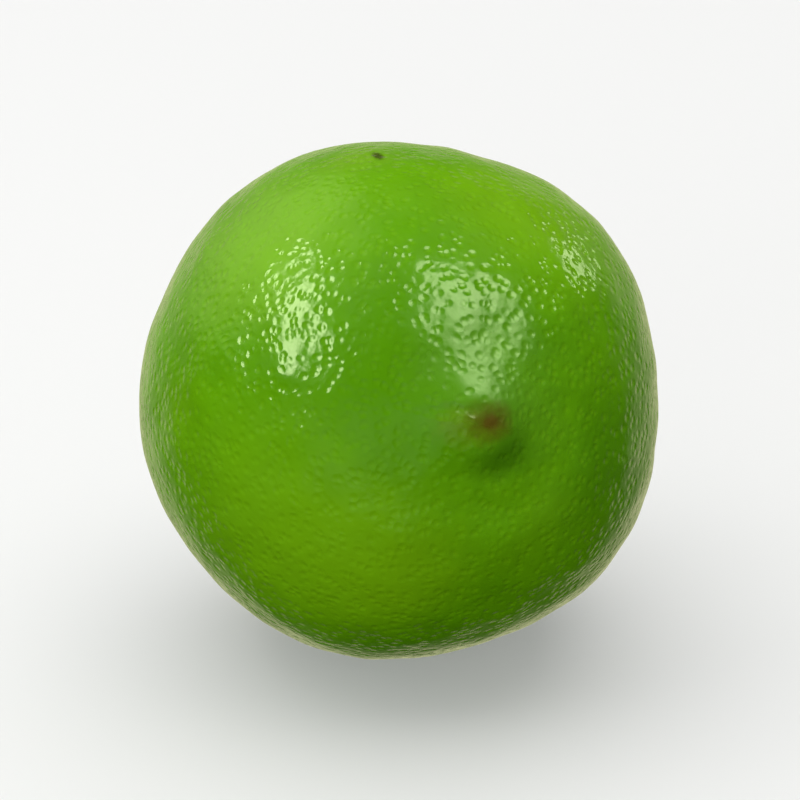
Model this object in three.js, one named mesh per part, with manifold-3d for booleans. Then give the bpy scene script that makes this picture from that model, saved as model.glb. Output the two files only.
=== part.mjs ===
// A whole lime, lying on its side on a small flat spot.
//
// Millimetres, +Z up. The origin is on the surface that the fruit rests on, under the middle of the
// fruit. The long axis lies in the YZ plane: the blossom end, with its nipple, faces -Y and leans up,
// and the stem end, with its dry button, faces +Y and leans down.
//
// The fruit grew as one body, so it is one closed surface. Every point of it is given by its distance
// from the fruit's centre, as a function of two angles: the polar angle from the blossom end, and the
// turn around the long axis, seen from the blossom end and measured from +X.

import * as THREE from 'three';
import { mergeVertices } from 'three/addons/utils/BufferGeometryUtils.js';
import Module from 'manifold-3d';

const { clamp, degToRad, smoothstep } = THREE.MathUtils;

// Body
const HALF_WIDTH = 26;
const HALF_LENGTH = 28;
const AXIS_LEAN = degToRad(18.7); // blossom end above the horizontal
const TAPER = 0.5; // how much slimmer the blossom half is than the stem half
const FLAT_DEPTH = 0.55; // how much the resting spot takes off the underside

// Shallow lobes around the body: how many, how high, and the turn of one crest
const LOBES = [
  { count: 5, height: 0.3, turn: degToRad(33.5) },
  { count: 4, height: 0.22, turn: degToRad(39.5) },
];

// Blossom end: a low nipple in a faint ring furrow, with a tuck under it and a dimple at the scar on
// its tip. The tuck's reach is in sines of half the turn away from its middle.
const NIPPLE = { height: 1.4, spread: degToRad(9) };
const NIPPLE_FURROW = { depth: 0.4, polar: degToRad(17), spread: degToRad(5), turn: degToRad(-75) };
const TUCK = { depth: 0.55, polar: degToRad(10.5), spread: degToRad(3.6), turn: degToRad(-72), reach: 0.55 };
const SCAR_DIMPLE = { depth: 0.35, spread: degToRad(3) };

// Stem end: a shallow cavity with creases running out of it, and a five-lobed button in its middle
const CAVITY = { depth: 2.3, spread: degToRad(16) };
const CREASES = { count: 9, depth: 0.22, polar: degToRad(16), spread: degToRad(8) };
const BUTTON = { lobes: 5, height: 0.8, polar: degToRad(6.2), lobe: degToRad(0.7), edge: degToRad(2.2) };
const BUTTON_SCAR = { depth: 0.4, spread: degToRad(3) };

// Mesh: the rings crowd towards both ends, where the detail is
const MERIDIANS = 60;
const RINGS = 46;
const CROWDING = 0.4;

const wasm = await Module();
wasm.setup();

/** 1 at no offset, falling away smoothly over a few spreads. */
function bell(offset, spread) {
  return Math.exp(-((offset / spread) ** 2));
}

/** Distance from centre to skin of the plain egg shape that the fruit is based on. */
function bodyRadius(polar) {
  const ellipsoid = 1 / Math.hypot(Math.cos(polar) / HALF_LENGTH, Math.sin(polar) / HALF_WIDTH);
  return ellipsoid - TAPER * Math.cos(polar) * Math.sin(polar) ** 2;
}

/** The lobes are highest round the middle and fade to nothing at both ends. */
function lobeRelief(polar, turn) {
  const heights = LOBES.map((lobe) => lobe.height * Math.cos(lobe.count * (turn - lobe.turn)));
  return Math.sin(polar) ** 2 * heights.reduce((sum, height) => sum + height);
}

/** Nipple, furrow, tuck and dimple. The furrow is deepest on the lower side, where the tuck is. */
function blossomRelief(polar, turn) {
  const furrowShare = 0.6 + 0.4 * Math.cos(turn - NIPPLE_FURROW.turn);
  const tuckShare = bell(Math.sin((turn - TUCK.turn) / 2), TUCK.reach);
  return (
    NIPPLE.height * bell(polar, NIPPLE.spread) -
    NIPPLE_FURROW.depth * furrowShare * bell(polar - NIPPLE_FURROW.polar, NIPPLE_FURROW.spread) -
    TUCK.depth * tuckShare * bell(polar - TUCK.polar, TUCK.spread) -
    SCAR_DIMPLE.depth * bell(polar, SCAR_DIMPLE.spread)
  );
}

/** Cavity, creases and button. Here the polar angle is measured from the stem end. */
function stemRelief(fromStem, turn) {
  const creaseShare = 0.5 - 0.5 * Math.cos(CREASES.count * turn);
  const buttonRim = BUTTON.polar + BUTTON.lobe * Math.cos(BUTTON.lobes * turn);
  const onButton = 1 - smoothstep(fromStem, buttonRim - BUTTON.edge / 2, buttonRim + BUTTON.edge / 2);
  return (
    BUTTON.height * onButton -
    BUTTON_SCAR.depth * bell(fromStem, BUTTON_SCAR.spread) -
    CAVITY.depth * bell(fromStem, CAVITY.spread) -
    CREASES.depth * creaseShare * bell(fromStem - CREASES.polar, CREASES.spread)
  );
}

function skinRadius(polar, turn) {
  return (
    bodyRadius(polar) +
    lobeRelief(polar, turn) +
    blossomRelief(polar, turn) +
    stemRelief(Math.PI - polar, turn)
  );
}

/** A sphere of rings and meridians about its Y axis, with its seam and poles merged. */
function makeUnitSphere() {
  const sphere = new THREE.SphereGeometry(1, MERIDIANS, RINGS);
  sphere.deleteAttribute('normal');
  sphere.deleteAttribute('uv');
  return mergeVertices(sphere);
}

/** The uncut fruit: a sphere with every point moved out to the skin, and the axis then leant. */
function makeWholeSkin() {
  const geometry = makeUnitSphere();
  const points = geometry.attributes.position;
  const point = new THREE.Vector3();
  for (let i = 0; i < points.count; i += 1) {
    point.fromBufferAttribute(points, i);
    const evenPolar = Math.acos(clamp(point.y, -1, 1));
    const polar = evenPolar - CROWDING * Math.sin(2 * evenPolar);
    const turn = Math.atan2(-point.z, point.x);
    const radius = skinRadius(polar, turn);
    const fromAxis = radius * Math.sin(polar);
    points.setXYZ(i, fromAxis * Math.cos(turn), radius * Math.cos(polar), -fromAxis * Math.sin(turn));
  }
  geometry.rotateX(Math.PI - AXIS_LEAN);
  geometry.computeBoundingBox();
  return geometry;
}

function toSolid(geometry) {
  return new wasm.Manifold(
    new wasm.Mesh({
      numProp: 3,
      vertProperties: geometry.attributes.position.array,
      triVerts: new Uint32Array(geometry.index.array),
    }),
  );
}

function toGeometry(solid) {
  const { vertProperties, triVerts } = solid.getMesh();
  const geometry = new THREE.BufferGeometry();
  geometry.setAttribute('position', new THREE.BufferAttribute(vertProperties, 3));
  geometry.setIndex(new THREE.BufferAttribute(triVerts, 1));
  geometry.computeVertexNormals();
  geometry.computeBoundingBox();
  return geometry;
}

/** Cuts off everything below the given level, with a block wider than the fruit. */
function cutBelow(geometry, level) {
  const side = 4 * HALF_LENGTH;
  const block = new THREE.BoxGeometry(side, side, side);
  block.deleteAttribute('normal');
  block.deleteAttribute('uv');
  block.translate(0, 0, level - side / 2);
  return toGeometry(toSolid(geometry).subtract(toSolid(mergeVertices(block))));
}

function makeLime() {
  const skin = makeWholeSkin();
  const restLevel = skin.boundingBox.min.z + FLAT_DEPTH;
  const fruit = cutBelow(skin, restLevel);
  const middle = fruit.boundingBox.getCenter(new THREE.Vector3());

  const peel = new THREE.MeshStandardMaterial({ color: 0x569008, roughness: 0.35, metalness: 0 });
  const lime = new THREE.Mesh(fruit, peel);
  lime.name = 'lime';
  lime.position.set(-middle.x, -middle.y, -restLevel);
  return lime;
}

const group = new THREE.Group();
group.add(makeLime());

export default group;
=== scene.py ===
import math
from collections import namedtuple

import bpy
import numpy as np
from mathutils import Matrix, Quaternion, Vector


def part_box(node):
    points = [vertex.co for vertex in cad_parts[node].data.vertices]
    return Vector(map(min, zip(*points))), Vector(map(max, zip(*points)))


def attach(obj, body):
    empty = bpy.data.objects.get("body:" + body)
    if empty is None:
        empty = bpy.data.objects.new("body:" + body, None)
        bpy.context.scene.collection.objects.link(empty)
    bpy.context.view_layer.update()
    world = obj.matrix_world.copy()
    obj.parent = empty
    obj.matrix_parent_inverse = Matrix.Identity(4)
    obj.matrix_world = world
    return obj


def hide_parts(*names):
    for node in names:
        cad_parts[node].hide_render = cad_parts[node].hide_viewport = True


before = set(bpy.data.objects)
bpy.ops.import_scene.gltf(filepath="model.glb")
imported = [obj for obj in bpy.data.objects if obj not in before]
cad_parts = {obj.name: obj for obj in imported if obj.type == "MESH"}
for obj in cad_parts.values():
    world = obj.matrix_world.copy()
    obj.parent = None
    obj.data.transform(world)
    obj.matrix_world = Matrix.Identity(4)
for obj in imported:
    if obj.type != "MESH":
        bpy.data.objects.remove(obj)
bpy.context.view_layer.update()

# A whole lime, lying on its side on a small flat spot, in soft studio light.
#
# The fruit is one closed skin. Its shape is worked out in millimetres in the fruit's own frame, where
# x and y lie across the fruit and z runs along its axis to the blossom end. Every point is given by its
# distance from the fruit's centre, as a function of the polar angle from the blossom end and the turn
# round the axis. The same formulas shape the CAD solid. The oil glands, the fold beside the scar, the
# ribs on the stem button and the finer unevenness are added here.

MM = 0.001

# Body, as in the CAD solid. Lengths are in millimetres, here and below.
HALF_WIDTH = 26.0
HALF_LENGTH = 28.0
AXIS_LEAN = math.radians(18.7)
TAPER = 0.5
FLAT_DEPTH = 0.55
FLAT_ROUNDING = 0.12
LOBES = (  # count, height, turn of one crest
    (5, 0.30, math.radians(33.5)),
    (4, 0.22, math.radians(39.5)),
)

# Blossom end, as in the CAD solid. The furrow's mean and swing are shares of its depth.
NIPPLE_HEIGHT, NIPPLE_SPREAD = 1.4, math.radians(9)
FURROW_DEPTH, FURROW_POLAR, FURROW_SPREAD = 0.4, math.radians(17), math.radians(5)
FURROW_TURN, FURROW_MEAN, FURROW_SWING = math.radians(-75), 0.6, 0.4
DIMPLE_DEPTH, DIMPLE_SPREAD = 0.35, math.radians(3)
TUCK_DEPTH, TUCK_POLAR, TUCK_SPREAD = 0.55, math.radians(10.5), math.radians(3.6)
TUCK_TURN, TUCK_REACH = math.radians(-72), 0.55

# Stem end, as in the CAD solid
CAVITY_DEPTH, CAVITY_SPREAD = 2.3, math.radians(16)
CREASES, CREASE_DEPTH = 9, 0.22
CREASE_POLAR, CREASE_SPREAD = math.radians(16), math.radians(8)
BUTTON_LOBES, BUTTON_HEIGHT, BUTTON_POLAR = 5, 0.8, math.radians(6.2)
BUTTON_LOBE, BUTTON_EDGE = math.radians(0.7), math.radians(2.2)
BUTTON_SCAR_DEPTH, BUTTON_SCAR_SPREAD = 0.4, math.radians(3)

# Skin, as the mesh has it. Every oil gland is a shallow pit. The glands stray from an even pattern, by
# GLAND_STRAY pitches, and a pit is worked out as far as GLAND_REACH widths from its middle. A start or
# an end is the pair of distances between which a shape fades in or out.
SKIN_STEPS = 128  # squares along each side of a grid
MAP_MARGIN = 0.008  # left free round a grid in the map, as a share of its side
GLAND_PITCH, GLAND_STRAY = 1.05, 0.30
GLAND_WIDTH, GLAND_DEPTH = 0.36, 0.024
GLAND_SIZES, GLAND_DEEPEST = (0.72, 1.25), 1.4
GLAND_REACH, GLAND_BANDS = 4, 64
FOLD_DEPTH, FOLD_WIDTH = 0.20, 0.48
FOLD_TURN, FOLD_OFFSET = math.radians(174), -1.2
FOLD_START, FOLD_END = (-1.0, 1.0), (3.2, 6.2)
RIB_HEIGHT, RIB_START = 0.14, (0.8, 1.8)
SCAR_RIM_HEIGHT, SCAR_RIM_RADIUS, SCAR_RIM_WIDTH = 0.16, 1.25, 0.35
UNEVEN_WAVES, UNEVEN_LENGTH, UNEVEN_HEIGHT = 24, 7.0, 0.05
UNEVEN_STRETCH = (0.5, 1.5)
SEED = 7

# Noise is given as the length of its swells, its detail and its roughness.
#
# Fine relief, as the material has it. The glands' crisp pits slope from PIT_FLOOR to PIT_RIM, which are
# distances from a pit's middle in spacings. Their rows are turned and swayed, so that they don't show.
PIT_SPACING, PIT_DEPTH = 0.92, 0.066
PIT_FLOOR, PIT_RIM = 0.05, 0.62
ROW_TURN = (math.radians(80), math.radians(10), math.radians(50))
SWAY, SWAY_LENGTH = 1.4, 6.0
GRAIN, GRAIN_DEPTH = (0.50, 2.0), 0.013
RIPPLE, RIPPLE_DEPTH = (1.6, 1.0), 0.05

# Clouds over the peel: the value eases from at_low to at_high as the noise goes from low to high
Cloud = namedtuple("Cloud", "noise low high at_low at_high")
FRESH_CLOUD = Cloud((17, 3.0), 0.32, 0.68, 0.0, 1.0)
YELLOW_CLOUD = Cloud((24, 2.0), 0.56, 0.78, 0.0, 0.35)
FLECK_CLOUD = Cloud((2.6, 3.0, 0.6), 0.30, 0.70, 0.0, 0.30)
ROUGHNESS_CLOUD = Cloud((3.5, 3.0), 0.25, 0.75, 0.13, 0.20)

# Pale dots in the pits, and the stem end's colours. A fade is where a colour begins and where it ends,
# in spacings for the dots and as distances from the stem for the others.
DOT_FADE, DOT_STRENGTH = (0.15, 0.45), 0.20
STEM_FADE, STEM_YELLOWING = (2.8, 9.0), 0.55
RIM_FADE, RIM_GREENING = (1.6, 3.0), 0.75
SCAR_FADE, SCAR_RAGGEDNESS = (1.15, 2.0), 1.1
BUTTON_FIBRES, SCAR_FIBRES, SCAR_EDGE = (0.7, 4.0, 0.6), (0.4, 3.0), (0.7, 3.0, 0.6)

# Finish. The flesh depths are how far red, green and blue light go under the peel.
BUTTON_DULLING = 0.4
PEEL_IOR = 1.45
FLESH_SHARE, FLESH_DEPTHS = 0.06, (0.8, 1.2, 0.25)

# Colours of the peel and the button, as linear red, green and blue
DEEP_GREEN, FRESH_GREEN = (0.086, 0.284, 0.0006), (0.125, 0.370, 0.0012)
YELLOW_GREEN, FLECK_GREEN = (0.21, 0.42, 0.003), (0.078, 0.245, 0.0005)
GLAND_GREEN, STEM_GREEN = (0.19, 0.45, 0.004), (0.20, 0.33, 0.018)
BUTTON_BROWN, BUTTON_TAN, BUTTON_GREEN = (0.20, 0.165, 0.055), (0.42, 0.36, 0.17), (0.17, 0.22, 0.035)
SCAR_DARK, SCAR_BROWN = (0.060, 0.036, 0.014), (0.15, 0.095, 0.038)

# Marks on the peel, some of them painted light or shade. Angles are in degrees. A softer mark fades over a
# wider edge, and a more ragged one has a more broken edge.
EDGE_LENGTH, EDGE_DETAIL = 0.5, 3.0
Mark = namedtuple("Mark", "polar turn half_sizes shade strength raggedness softness")
MARKS = {
    # Painted shade: a darker green patch in the middle of the side that faces the camera.
    "painted_shade_middle": Mark(20, 152, (11, 10, 9), (0.064, 0.230, 0.0004), 0.6, 0.6, 0.7),
    # Partly a yellower green and partly painted light: a lighter patch low on the side that faces the
    # camera.
    "fresh_underside_and_painted_light": Mark(41, -130, (9, 9, 7), (0.17, 0.39, 0.002), 0.75, 0.6, 0.7),
    # Partly a fresher green and partly painted light: a lighter patch low on the left of the side that faces
    # the camera.
    "fresh_lower_side_and_painted_light": Mark(50, -152, (11, 11, 10), (0.16, 0.40, 0.003), 0.8, 0.6, 0.8),
    # Partly a paler green and partly a painted sheen: a pale yellowish patch high on the left.
    "pale_left_shoulder_and_painted_sheen": Mark(68, 125, (11, 10, 9), (0.18, 0.42, 0.010), 0.55, 0.6, 0.8),
    # Partly a paler green and partly a painted sheen: a pale patch high on the right.
    "pale_right_shoulder_and_painted_sheen": Mark(55, 62, (9, 9, 8), (0.20, 0.43, 0.006), 0.55, 0.6, 0.8),
    # Painted shade: a dark green patch in the tuck under the nipple, where shade falls.
    "painted_shade_in_tuck": Mark(8.6, -62, (3.4, 1.8, 1.8), (0.034, 0.135, 0.001), 0.55, 0.8, 0.8),
    "olive_smear": Mark(3.2, 180, (2.8, 1.7, 1.7), (0.125, 0.205, 0.001), 0.55, 1.0, 0.8),
    "olive_scar": Mark(1.0, 5, (1.9, 1.5, 1.6), (0.092, 0.105, 0.0005), 0.9, 1.0, 0.7),
    "brown_scar": Mark(1.0, 5, (0.7, 0.6, 0.6), (0.100, 0.050, 0.002), 0.7, 1.0, 0.6),
    "pale_blotch": Mark(75, 99, (3.5, 3.0, 1.6), (0.22, 0.40, 0.02), 0.35, 0.8, 0.8),
    "dark_speck": Mark(73.2, 95, (0.50, 1.0, 0.6), (0.040, 0.060, 0.003), 0.9, 0.9, 0.5),
}
DullSpot = namedtuple("DullSpot", "polar turn half_sizes dulling raggedness softness")
NIPPLE_DULLING = DullSpot(9, 75, (6.0, 6.0, 6.0), 0.18, 0.6, 0.9)

# Camera and floor, in metres. The floor's glow grows to full over its fade.
VIEW_AZIMUTH, VIEW_ELEVATION = math.radians(-16.6), math.radians(24)
LENS = 180.0
FRAME_WIDTH = 0.080
NEAREST = 0.01
FLOOR_HALF, FLOOR_FADE, FLOOR_GLOW = 3.0, (0.45, 1.1), 0.25
FLOOR_GREY, FLOOR_ROUGHNESS = 0.53, 0.7

# Lamps. Directions are from the fruit, distances and sizes in metres, powers in watts, rolls in degrees.
WINDOW_DISTANCE = 0.6
Lamp = namedtuple("Lamp", "direction distance size power roll")
WINDOWS = {
    "left_window": Lamp((-0.77, 0.05, 0.63), WINDOW_DISTANCE, (0.14, 0.40), 2.4, 56),
    "right_window": Lamp((0.31, -0.36, 0.88), WINDOW_DISTANCE, (0.37, 0.33), 3.2, 45),
    "right_kicker": Lamp((0.82, 0.38, 0.42), WINDOW_DISTANCE, (0.10, 0.13), 0.2, 30),
}
LAMPS = {
    "overhead": Lamp((0.05, 0.25, 1.0), 1.0, (1.6, 1.6), 14.0, 0),
    "front_fill": Lamp((-0.7, -0.9, 0.05), 0.9, (0.8, 0.8), 5.6, 0),
    "left_fill": Lamp((-0.81, 0.06, 0.59), 0.7, (0.6, 0.6), 1.0, 0),
}
WINDOW_TINT, BACKDROP_TINT = (0.92, 1.0, 0.62), (0.96, 0.96, 0.55)

# World. Each fade is a pair of cosines: the light is nothing at the first and full at the second.
WHITE = (1.0, 1.0, 1.0)
AMBIENT_LIGHT, AMBIENT_FADE = 0.40, (-1.0, -0.2)
BACKDROP_GLOSS, BACKDROP_TOP, BACKDROP_BOTTOM = 0.75, (0.50, -0.40), (-1.0, -0.6)
BACKDROP_SIDES = (0.35, 0.85)
GLOW_DIRECTION, GLOW_GLOSS, GLOW_FADE = (-0.453, 0.665, 0.594), 0.75, (0.78, 0.99)


# ---------------------------------------------------------------- shape


def bell(offset, spread):
    """1 at no offset, falling away smoothly over a few spreads: exp(-(offset / spread) squared)."""
    return np.exp(-((offset / spread) ** 2))


def ease(value, low, high):
    """0 below low, 1 above high, and the cubic 3t^2 - 2t^3 between."""
    t = np.clip((value - low) / (high - low), 0, 1)
    return t * t * (3 - 2 * t)


def body_radius(polar):
    """An ellipsoid's radius, less a taper that slims the blossom half by cos times sin squared."""
    ellipsoid = 1 / np.hypot(np.cos(polar) / HALF_LENGTH, np.sin(polar) / HALF_WIDTH)
    return ellipsoid - TAPER * np.cos(polar) * np.sin(polar) ** 2


def lobe_relief(polar, turn):
    """Cosine waves round the axis, fading to nothing at both ends by sin squared of the polar angle."""
    waves = sum(height * np.cos(count * (turn - crest)) for count, height, crest in LOBES)
    return np.sin(polar) ** 2 * waves


def blossom_relief(polar, turn):
    """A bell for the nipple, less its ring furrow, the tuck under it and the dimple, all of them bells.

    The furrow is deepest on the nipple's lower side, and the tuck is only there: its share falls off
    as a bell of the sine of half the turn away from its middle.
    """
    furrow_share = FURROW_MEAN + FURROW_SWING * np.cos(turn - FURROW_TURN)
    tuck_share = bell(np.sin((turn - TUCK_TURN) / 2), TUCK_REACH)
    return (
        NIPPLE_HEIGHT * bell(polar, NIPPLE_SPREAD)
        - FURROW_DEPTH * furrow_share * bell(polar - FURROW_POLAR, FURROW_SPREAD)
        - TUCK_DEPTH * tuck_share * bell(polar - TUCK_POLAR, TUCK_SPREAD)
        - DIMPLE_DEPTH * bell(polar, DIMPLE_SPREAD)
    )


def on_button(from_stem, turn):
    """1 on the stem button and 0 off it: a step at a rim that waves in and out in five lobes."""
    rim = BUTTON_POLAR + BUTTON_LOBE * np.cos(BUTTON_LOBES * turn)
    return 1 - ease(from_stem, rim - BUTTON_EDGE / 2, rim + BUTTON_EDGE / 2)


def stem_relief(from_stem, turn):
    """The raised button, less bells for its scar and its cavity and a ring of cosine creases."""
    crease_share = 0.5 - 0.5 * np.cos(CREASES * turn)
    return (
        BUTTON_HEIGHT * on_button(from_stem, turn)
        - BUTTON_SCAR_DEPTH * bell(from_stem, BUTTON_SCAR_SPREAD)
        - CAVITY_DEPTH * bell(from_stem, CAVITY_SPREAD)
        - CREASE_DEPTH * crease_share * bell(from_stem - CREASE_POLAR, CREASE_SPREAD)
    )


def skin_radius(polar, turn):
    """Distance from the fruit's centre to its smooth skin: the body and all of its relief added up."""
    return (
        body_radius(polar)
        + lobe_relief(polar, turn)
        + blossom_relief(polar, turn)
        + stem_relief(math.pi - polar, turn)
    )


def angles_of(directions):
    """Polar angle from the blossom end, and turn round the axis, of unit directions."""
    polar = np.arccos(np.clip(directions[:, 2], -1, 1))
    return polar, np.arctan2(directions[:, 1], directions[:, 0])


def cube_ball(steps):
    """A unit ball of six square grids, closed along their seams.

    Each grid lies on one side of a cube and is spaced by the tangent of even angles, so that its
    cells stay nearly equal once every point is drawn in to unit length. Returns the points, the
    square faces with their corners anticlockwise from outside, and each corner's place in a map
    that sets the six grids out three across and two down.
    """
    line = np.tan(np.linspace(-1, 1, steps + 1) * math.pi / 4)
    across, along = np.meshgrid(line, line, indexing="ij")
    share = MAP_MARGIN + (1 - 2 * MAP_MARGIN) * np.linspace(0, 1, steps + 1)
    index = np.arange((steps + 1) ** 2).reshape(steps + 1, steps + 1)
    corners = [index[:-1, :-1], index[1:, :-1], index[1:, 1:], index[:-1, 1:]]
    cells = np.stack(corners, axis=-1).reshape(-1, 4)
    points, faces, places = [], [], []
    for side in range(6):
        out = np.zeros(3)
        out[side // 2] = 1 - 2 * (side % 2)
        right = np.roll(np.abs(out), 1)
        up = np.cross(out, right)
        grid = out + across[..., None] * right + along[..., None] * up
        points.append(grid.reshape(-1, 3))
        faces.append(cells + side * index.size)
        place = np.stack(np.meshgrid(side % 3 + share, side // 3 + share, indexing="ij"), axis=-1)
        places.append(place.reshape(-1, 2) / (3, 2))
    points = np.concatenate(points)
    faces = np.concatenate(faces)
    places = np.concatenate(places)[faces]
    _, first, merged = np.unique(np.round(points, 6), axis=0, return_index=True, return_inverse=True)
    points = points[first] / np.linalg.norm(points[first], axis=1, keepdims=True)
    return points, merged.reshape(-1)[faces], places


def gland_spots(rng):
    """Directions of the oil glands: an even spiral over the ball, with every spot moved a little.

    The spiral steps evenly in z and by the golden angle in turn, which spaces the spots evenly.
    """
    count = round(4 * math.pi * HALF_WIDTH * HALF_LENGTH / GLAND_PITCH**2)
    step = np.arange(count) + 0.5
    z = 1 - 2 * step / count
    turn = step * math.pi * (3 - math.sqrt(5))
    across = np.sqrt(1 - z * z)
    spots = np.stack([across * np.cos(turn), across * np.sin(turn), z], axis=1)
    spots += rng.normal(0, GLAND_STRAY * GLAND_PITCH / HALF_WIDTH, spots.shape)
    return spots / np.linalg.norm(spots, axis=1, keepdims=True)


def gland_pits(directions, rng):
    """How deep each direction lies in the glands' pits: the sum of a bell round every gland, capped.

    Skin and glands are cut into bands by z, so that a band of the skin is only measured against the
    glands near it.
    """
    spots = gland_spots(rng)
    size = rng.uniform(*GLAND_SIZES, len(spots))
    depth = np.zeros(len(directions))
    reach = GLAND_REACH * GLAND_WIDTH / HALF_WIDTH
    edges = np.linspace(-1, 1, GLAND_BANDS + 1)
    band_of = np.clip(np.digitize(directions[:, 2], edges) - 1, 0, GLAND_BANDS - 1)
    for band in range(GLAND_BANDS):
        here = np.flatnonzero(band_of == band)
        near = (spots[:, 2] > edges[band] - reach) & (spots[:, 2] < edges[band + 1] + reach)
        spot, spot_size = spots[near], size[near]
        apart = np.clip(2 - 2 * directions[here] @ spot.T, 0, None) / spot_size**2
        depth[here] = (spot_size * np.exp(-apart * (HALF_WIDTH / GLAND_WIDTH) ** 2)).sum(axis=1)
    return np.minimum(depth, GLAND_DEEPEST)


def fold_relief(polar, turn):
    """A faint straight fold beside the scar: a bell across it, eased in at one end and out at the other.

    Both distances are taken on the blossom end, seen along the axis.
    """
    across = HALF_LENGTH * np.sin(polar) * np.sin(turn - FOLD_TURN) - FOLD_OFFSET
    along = HALF_LENGTH * np.sin(polar) * np.cos(turn - FOLD_TURN)
    share = ease(along, *FOLD_START) * (1 - ease(along, *FOLD_END))
    return -FOLD_DEPTH * share * bell(across, FOLD_WIDTH) * (polar < math.pi / 2)


def button_ribs(from_stem, turn):
    """Ribs that run out over the button's lobes, and a rim round its scar.

    The ribs are a cosine wave round the axis that eases in away from the stem, and the rim is a bell.
    """
    ribs = (0.5 + 0.5 * np.cos(2 * BUTTON_LOBES * turn)) * ease(from_stem, *RIB_START)
    rim = bell(from_stem - SCAR_RIM_RADIUS, SCAR_RIM_WIDTH)
    return RIB_HEIGHT * ribs + SCAR_RIM_HEIGHT * rim


def unevenness(directions, rng):
    """Broad swells of the peel: sine waves in random directions through the ball, added up.

    The sum is divided by the root of half their number, which keeps its usual size near 1.
    """
    waves = rng.normal(size=(UNEVEN_WAVES, 3))
    waves *= 2 * math.pi * HALF_WIDTH / UNEVEN_LENGTH / np.linalg.norm(waves, axis=1, keepdims=True)
    waves *= rng.uniform(*UNEVEN_STRETCH, (UNEVEN_WAVES, 1))
    start = rng.uniform(0, 2 * math.pi, UNEVEN_WAVES)
    return np.sin(directions @ waves.T + start).sum(axis=1) / math.sqrt(UNEVEN_WAVES / 2)


def lay_down(places):
    """Turns places from the fruit's frame into the object's: the axis leans up towards -Y."""
    lean_sin, lean_cos = math.sin(AXIS_LEAN), math.cos(AXIS_LEAN)
    across = np.array([1.0, 0.0, 0.0])
    upward = np.array([0.0, lean_sin, lean_cos])
    blossom = np.array([0.0, -lean_cos, lean_sin])
    return places @ np.stack([across, upward, blossom])


def press_flat(places, level):
    """Draws what lies below the level back towards the centre, on to it, with a rounded rim.

    The new height is the smooth maximum of the old height and the level: the larger of the two, plus a
    quarter of the rounding times the square of how near they are, as a share of the rounding.
    """
    height = places[:, 2]
    gap = np.clip(1 - np.abs(height - level) / FLAT_ROUNDING, 0, None)
    pressed = np.maximum(height, level) + gap**2 * FLAT_ROUNDING / 4
    low = height < level + FLAT_ROUNDING
    return np.where(low[:, None], places * (pressed / np.where(low, height, 1))[:, None], places)


def set_faces(mesh, points, faces):
    """Puts points and four-cornered faces into an empty mesh."""
    mesh.vertices.add(len(points))
    mesh.vertices.foreach_set("co", points.astype(np.float32).ravel())
    mesh.loops.add(faces.size)
    mesh.loops.foreach_set("vertex_index", faces.astype(np.int32).ravel())
    mesh.polygons.add(len(faces))
    mesh.polygons.foreach_set("loop_start", np.arange(0, faces.size, 4, dtype=np.int32))
    mesh.polygons.foreach_set("use_smooth", np.ones(len(faces), dtype=bool))
    mesh.update(calc_edges=True)


def keep_number(mesh, name, values):
    """Keeps one number for each point of the mesh, for its material to read."""
    mesh.attributes.new(name, "FLOAT", "POINT").data.foreach_set("value", values.astype(np.float32))


def make_lime():
    """The whole fruit, placed so that its smooth skin stands where the CAD solid does."""
    rng = np.random.default_rng(SEED)
    directions, faces, places = cube_ball(SKIN_STEPS)
    polar, turn = angles_of(directions)
    radius = skin_radius(polar, turn)
    smooth = lay_down(directions * radius[:, None])
    level = smooth[:, 2].min() + FLAT_DEPTH
    low, high = smooth.min(axis=0), smooth.max(axis=0)

    gland_depth = gland_pits(directions, rng)
    button = on_button(math.pi - polar, turn)
    peel_share = 1 - button
    from_stem = HALF_LENGTH * (math.pi - polar)
    fine = UNEVEN_HEIGHT * unevenness(directions, rng) - GLAND_DEPTH * gland_depth
    radius = radius + fold_relief(polar, turn) + fine * peel_share + button_ribs(from_stem, turn) * button
    skin = press_flat(lay_down(directions * radius[:, None]), level)

    box_low, box_high = (np.array(corner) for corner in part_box("lime"))
    shift = (box_low + box_high) / 2 - (low + high) / 2 * MM
    shift[2] = box_low[2] - level * MM
    mesh = bpy.data.meshes.new("lime_peel")
    set_faces(mesh, skin * MM + shift, faces)
    keep_number(mesh, "button", button)
    keep_number(mesh, "from_stem", from_stem)
    mesh.uv_layers.new(name="OFBake").data.foreach_set("uv", places.astype(np.float32).ravel())
    lime = bpy.data.objects.new("lime_peel", mesh)
    bpy.context.collection.objects.link(lime)
    return lime, shift


def place_on_skin(polar, turn, shift):
    """The point of the smooth skin at these angles, in degrees, in the object's frame and in metres."""
    polar, turn = math.radians(polar), math.radians(turn)
    across = math.sin(polar)
    direction = np.array([across * math.cos(turn), across * math.sin(turn), math.cos(polar)])
    return lay_down(direction * skin_radius(polar, turn)) * MM + shift


# ---------------------------------------------------------------- material


def opaque(colour):
    """Red, green and blue with a full alpha after them. A socket stays as it is."""
    return (*colour, 1.0) if isinstance(colour, tuple) else colour


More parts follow.
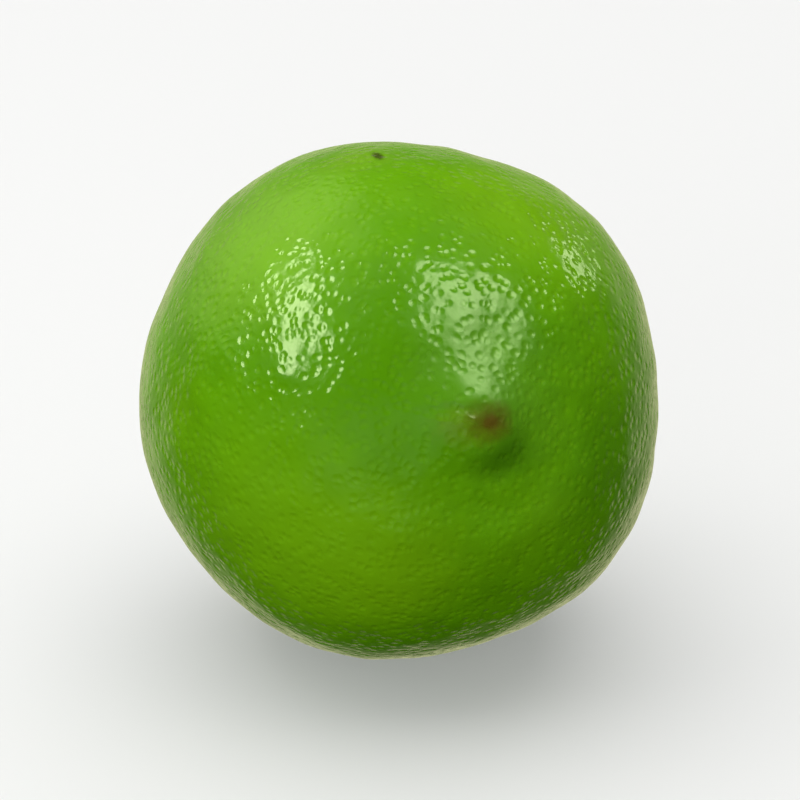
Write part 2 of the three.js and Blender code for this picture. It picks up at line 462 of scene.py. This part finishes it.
class Nodes:
    """Adds and joins the nodes of one tree. A value is a number, a vector, a colour or a socket."""

    def __init__(self, tree):
        self.tree = tree

    def add(self, kind, inputs=(), **settings):
        """A node of this kind, with its settings, and with each input set or joined by name or number."""
        node = self.tree.nodes.new(kind)
        for name, value in settings.items():
            setattr(node, name, value)
        for name, value in dict(inputs).items():
            self.give(node.inputs[name], value)
        return node

    def give(self, socket, value):
        """Joins a socket to the one that is given, or sets it to the value."""
        if isinstance(value, bpy.types.NodeSocket):
            self.tree.links.new(value, socket)
        else:
            socket.default_value = value

    def math(self, operation, *values):
        """One step of arithmetic. MULTIPLY_ADD gives the first value times the second, plus the third."""
        node = self.add("ShaderNodeMath", dict(enumerate(values)), operation=operation)
        return node.outputs[0]

    def step(self, value, low, high, to_low=0.0, to_high=1.0):
        """Eases from to_low to to_high as the value goes from low to high."""
        inputs = {"Value": value, "From Min": low, "From Max": high, "To Min": to_low, "To Max": to_high}
        return self.add("ShaderNodeMapRange", inputs, interpolation_type="SMOOTHSTEP").outputs["Result"]

    def mix(self, share, first, second):
        """The first colour, or as much of the second as the share says."""
        inputs = {0: share, 6: opaque(first), 7: opaque(second)}
        return self.add("ShaderNodeMix", inputs, data_type="RGBA").outputs[2]


class Shades(Nodes):
    """The nodes of one material, which follow the object's own coordinates."""

    def __init__(self, name):
        self.material = bpy.data.materials.new(name)
        self.material.use_nodes = True
        super().__init__(self.material.node_tree)
        self.shader = self.tree.nodes["Principled BSDF"]
        self.coordinates = self.add("ShaderNodeTexCoord").outputs["Object"]

    def noise(self, length, detail=2.0, roughness=0.5):
        """Cloudy noise about 0.5 whose swells are about length millimetres long."""
        inputs = {
            "Vector": self.coordinates,
            "Scale": 1 / (length * MM),
            "Detail": detail,
            "Roughness": roughness,
        }
        return self.add("ShaderNodeTexNoise", inputs).outputs["Fac"]

    def clouds(self, cloud):
        """Noise eased between the cloud's two levels."""
        return self.step(self.noise(*cloud.noise), cloud.low, cloud.high, cloud.at_low, cloud.at_high)

    def length(self, vector):
        """How long a vector is."""
        return self.add("ShaderNodeVectorMath", {0: vector}, operation="LENGTH").outputs["Value"]

    def share(self, name):
        """The number that the mesh keeps under this name."""
        return self.add("ShaderNodeAttribute", attribute_name=name).outputs["Fac"]

    def pits(self):
        """Distance from the nearest of many scattered points, over their spacing.

        The points stand in loose rows. The rows are turned away from the way the peel faces where it
        is glossiest, and slow noise sways them, so that none shows.
        """
        turned = self.add("ShaderNodeMapping", {"Vector": self.coordinates, "Rotation": ROW_TURN})
        slow = {"Vector": self.coordinates, "Scale": 1 / (SWAY_LENGTH * MM)}
        sway = self.add("ShaderNodeTexNoise", slow).outputs["Color"]
        swayed = {0: sway, 1: (SWAY * MM,) * 3, 2: turned.outputs[0]}
        places = self.add("ShaderNodeVectorMath", swayed, operation="MULTIPLY_ADD").outputs["Vector"]
        inputs = {"Vector": places, "Scale": 1 / (PIT_SPACING * MM)}
        return self.add("ShaderNodeTexVoronoi", inputs).outputs["Distance"]

    def spot(self, place, half_sizes, raggedness, softness):
        """1 inside an ellipsoid round a place in metres and 0 outside, with a soft and ragged edge.

        The distance from its centre, in units of its half sizes in millimetres, is eased from 1 to 0
        round the value 1, after noise has been added to it.
        """
        inputs = {"Vector": self.coordinates, "Location": place, "Scale": [half * MM for half in half_sizes]}
        local = self.add("ShaderNodeMapping", inputs, vector_type="TEXTURE").outputs[0]
        clouds = self.noise(min(half_sizes) * EDGE_LENGTH, EDGE_DETAIL)
        uneven = self.math("MULTIPLY_ADD", clouds, raggedness, -raggedness / 2)
        away = self.math("ADD", self.length(local), uneven)
        return self.step(away, 1 - softness, 1 + softness, 1.0, 0.0)


def mottled_green(shades, pits):
    """Deep and fresh green in clouds, yellower patches, fine darker flecks and paler dots in the pits."""
    colour = shades.mix(shades.clouds(FRESH_CLOUD), DEEP_GREEN, FRESH_GREEN)
    colour = shades.mix(shades.clouds(YELLOW_CLOUD), colour, YELLOW_GREEN)
    colour = shades.mix(shades.clouds(FLECK_CLOUD), colour, FLECK_GREEN)
    dots = shades.step(pits, *DOT_FADE, DOT_STRENGTH, 0.0)
    return shades.mix(dots, colour, GLAND_GREEN)


def marked(shades, colour, shift):
    """The colour with every mark laid over it in turn, painted light and shade among them."""
    for mark in MARKS.values():
        place = place_on_skin(mark.polar, mark.turn, shift)
        spot = shades.spot(place, mark.half_sizes, mark.raggedness, mark.softness)
        colour = shades.mix(shades.math("MULTIPLY", spot, mark.strength), colour, mark.shade)
    return colour


def with_stem(shades, peel):
    """Yellower peel towards the stem, a tan button that greens at its rim, and a brown scar in it."""
    from_stem = shades.share("from_stem")
    peel = shades.mix(shades.step(from_stem, *STEM_FADE, STEM_YELLOWING, 0.0), peel, STEM_GREEN)
    tan = shades.mix(shades.noise(*BUTTON_FIBRES), BUTTON_BROWN, BUTTON_TAN)
    tan = shades.mix(shades.step(from_stem, *RIM_FADE, 0.0, RIM_GREENING), tan, BUTTON_GREEN)
    scar = shades.mix(shades.noise(*SCAR_FIBRES), SCAR_DARK, SCAR_BROWN)
    ragged = shades.math("MULTIPLY_ADD", shades.noise(*SCAR_EDGE), SCAR_RAGGEDNESS, from_stem)
    button = shades.mix(shades.step(ragged, *SCAR_FADE), scar, tan)
    return shades.mix(shades.share("button"), peel, button)


def peel_bump(shades, pits):
    """The oil glands' crisp round pits, a fine leathery grain and a slow ripple, added up."""
    height = shades.step(pits, PIT_FLOOR, PIT_RIM, -PIT_DEPTH, 0.0)
    height = shades.math("MULTIPLY_ADD", shades.noise(*GRAIN), GRAIN_DEPTH, height)
    height = shades.math("MULTIPLY_ADD", shades.noise(*RIPPLE), RIPPLE_DEPTH, height)
    return shades.add("ShaderNodeBump", {"Distance": MM, "Height": height}).outputs["Normal"]


def peel_roughness(shades, shift):
    """A waxy gloss that varies in clouds, and is duller beside the nipple and on the stem button."""
    dull = NIPPLE_DULLING
    place = place_on_skin(dull.polar, dull.turn, shift)
    spot = shades.spot(place, dull.half_sizes, dull.raggedness, dull.softness)
    rough = shades.math("MULTIPLY_ADD", spot, dull.dulling, shades.clouds(ROUGHNESS_CLOUD))
    return shades.math("MULTIPLY_ADD", shades.share("button"), BUTTON_DULLING, rough)


def make_peel(shift):
    """The fruit's one material: its colours, its waxy gloss, its fine relief and light in its flesh."""
    shades = Shades("lime_peel")
    shader = shades.shader
    pits = shades.pits()
    green = mottled_green(shades, pits)
    shades.give(shader.inputs["Base Color"], with_stem(shades, marked(shades, green, shift)))
    shades.give(shader.inputs["Roughness"], peel_roughness(shades, shift))
    shades.give(shader.inputs["Normal"], peel_bump(shades, pits))
    shader.inputs["IOR"].default_value = PEEL_IOR
    shader.inputs["Subsurface Weight"].default_value = FLESH_SHARE
    shader.inputs["Subsurface Radius"].default_value = FLESH_DEPTHS
    shader.inputs["Subsurface Scale"].default_value = MM
    return shades.material


# ---------------------------------------------------------------- studio


def make_floor():
    """A pale square floor whose glow grows with distance, so that its far edge doesn't show.

    Only the camera sees it: it isn't mirrored in the fruit and throws no light on it.
    """
    half = FLOOR_HALF
    corners = [(-half, -half, 0), (half, -half, 0), (half, half, 0), (-half, half, 0)]
    mesh = bpy.data.meshes.new("floor")
    mesh.from_pydata(corners, [], [(0, 1, 2, 3)])
    floor = bpy.data.objects.new("floor", mesh)
    bpy.context.collection.objects.link(floor)
    paper = Shades("pale_floor")
    glow = paper.step(paper.length(paper.coordinates), *FLOOR_FADE, FLOOR_GLOW, 1.0)
    paper.shader.inputs["Base Color"].default_value = opaque((FLOOR_GREY,) * 3)
    paper.shader.inputs["Roughness"].default_value = FLOOR_ROUGHNESS
    paper.shader.inputs["Emission Color"].default_value = opaque(WHITE)
    paper.give(paper.shader.inputs["Emission Strength"], glow)
    mesh.materials.append(paper.material)
    floor.visible_glossy = False
    floor.visible_diffuse = False


def toward(azimuth, elevation):
    """The unit direction from the object to a camera at this azimuth and elevation, in radians."""
    flat = math.cos(elevation)
    return Vector((math.sin(azimuth) * flat, -math.cos(azimuth) * flat, math.sin(elevation)))


def make_camera(centre):
    """A long lens that looks at the centre, as far off as makes the frame FRAME_WIDTH wide there."""
    camera = bpy.data.cameras.new("camera")
    camera.lens = LENS
    distance = FRAME_WIDTH * LENS / camera.sensor_width
    back = toward(VIEW_AZIMUTH, VIEW_ELEVATION)
    holder = bpy.data.objects.new("camera", camera)
    holder.location = centre + back * distance
    holder.rotation_euler = (-back).to_track_quat("-Z", "Y").to_euler()
    camera.clip_start = NEAREST
    bpy.context.collection.objects.link(holder)
    bpy.context.scene.camera = holder


def make_lamp(name, lamp, centre):
    """A soft rectangular lamp that shines at the fruit, turned by its roll in degrees.

    It lights the peel and leaves no mirror image in its gloss.
    """
    light = bpy.data.lights.new(name, "AREA")
    light.shape = "RECTANGLE"
    light.size, light.size_y = lamp.size
    light.energy = lamp.power
    holder = bpy.data.objects.new(name, light)
    out = Vector(lamp.direction).normalized()
    holder.location = centre + out * lamp.distance
    turn = (-out).to_track_quat("-Z", "Y") @ Quaternion((0, 0, 1), math.radians(lamp.roll))
    holder.rotation_euler = turn.to_euler()
    holder.visible_glossy = False
    bpy.context.collection.objects.link(holder)
    return holder


def make_window(name, lamp, centre):
    """A lamp that only shows as a mirror image in the gloss, slightly greened as if by leaves."""
    holder = make_lamp(name, lamp, centre)
    holder.data.color = WINDOW_TINT
    holder.visible_glossy = True
    holder.visible_diffuse = False


class Sky(Nodes):
    """The nodes of the world, whose light may differ from one kind of ray to another."""

    def __init__(self):
        self.world = bpy.data.worlds.new("studio")
        self.world.use_nodes = True
        super().__init__(self.world.node_tree)
        self.background = self.tree.nodes["Background"]
        self.direction = self.add("ShaderNodeTexCoord").outputs["Generated"]
        self.rays = self.add("ShaderNodeLightPath").outputs

    def dot_with(self, axis):
        """The cosine of the angle between the ray's direction and the axis."""
        inputs = {0: self.direction, 1: axis}
        return self.add("ShaderNodeVectorMath", inputs, operation="DOT_PRODUCT").outputs["Value"]

    def choose(self, ray, other, value):
        """The value for rays of this kind, and the other for the rest."""
        return self.add("ShaderNodeMix", {0: self.rays[ray], 2: other, 3: value}).outputs[0]


def make_world():
    """White to the camera, even light that fades below, and a far pale floor and a glow in the gloss.

    The floor in the gloss eases in with the cosine of the angle to its middle, and out upwards and
    straight down. The glow eases in round its own direction.
    """
    sky = Sky()
    height = sky.dot_with((0, 0, 1))
    ambient = sky.step(height, *AMBIENT_FADE, 0.0, AMBIENT_LIGHT)
    backdrop = sky.step(height, *BACKDROP_BOTTOM, 0.0, BACKDROP_GLOSS)
    backdrop = sky.step(height, *BACKDROP_TOP, 0.0, backdrop)
    backdrop = sky.step(sky.dot_with(-toward(VIEW_AZIMUTH, 0.0)), *BACKDROP_SIDES, 0.0, backdrop)
    glow = sky.step(sky.dot_with(GLOW_DIRECTION), *GLOW_FADE, 0.0, GLOW_GLOSS)
    indirect = sky.choose("Is Glossy Ray", ambient, sky.math("ADD", backdrop, glow))
    sky.give(sky.background.inputs["Strength"], sky.choose("Is Camera Ray", indirect, 1.0))
    tint = sky.mix(sky.rays["Is Glossy Ray"], WHITE, BACKDROP_TINT)
    sky.give(sky.background.inputs["Color"], tint)
    sky.world.cycles.sampling_method = "NONE"  # so that no gloss takes the even light
    bpy.context.scene.world = sky.world


def make_studio():
    """The camera, the lamps, the world and the floor, set round the middle of the fruit."""
    low, high = (Vector(corner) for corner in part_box("lime"))
    centre = (low + high) / 2
    make_camera(centre)
    for name, window in WINDOWS.items():
        make_window(name, window, centre)
    for name, lamp in LAMPS.items():
        make_lamp(name, lamp, centre)
    make_world()
    make_floor()
    bpy.context.scene.view_settings.view_transform = "Standard"


def main():
    """Makes the fruit, says what it rides on and what it replaces, and makes its studio."""
    lime, shift = make_lime()
    lime.data.materials.append(make_peel(shift))
    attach(lime, "root")
    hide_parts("lime")
    make_studio()


main()
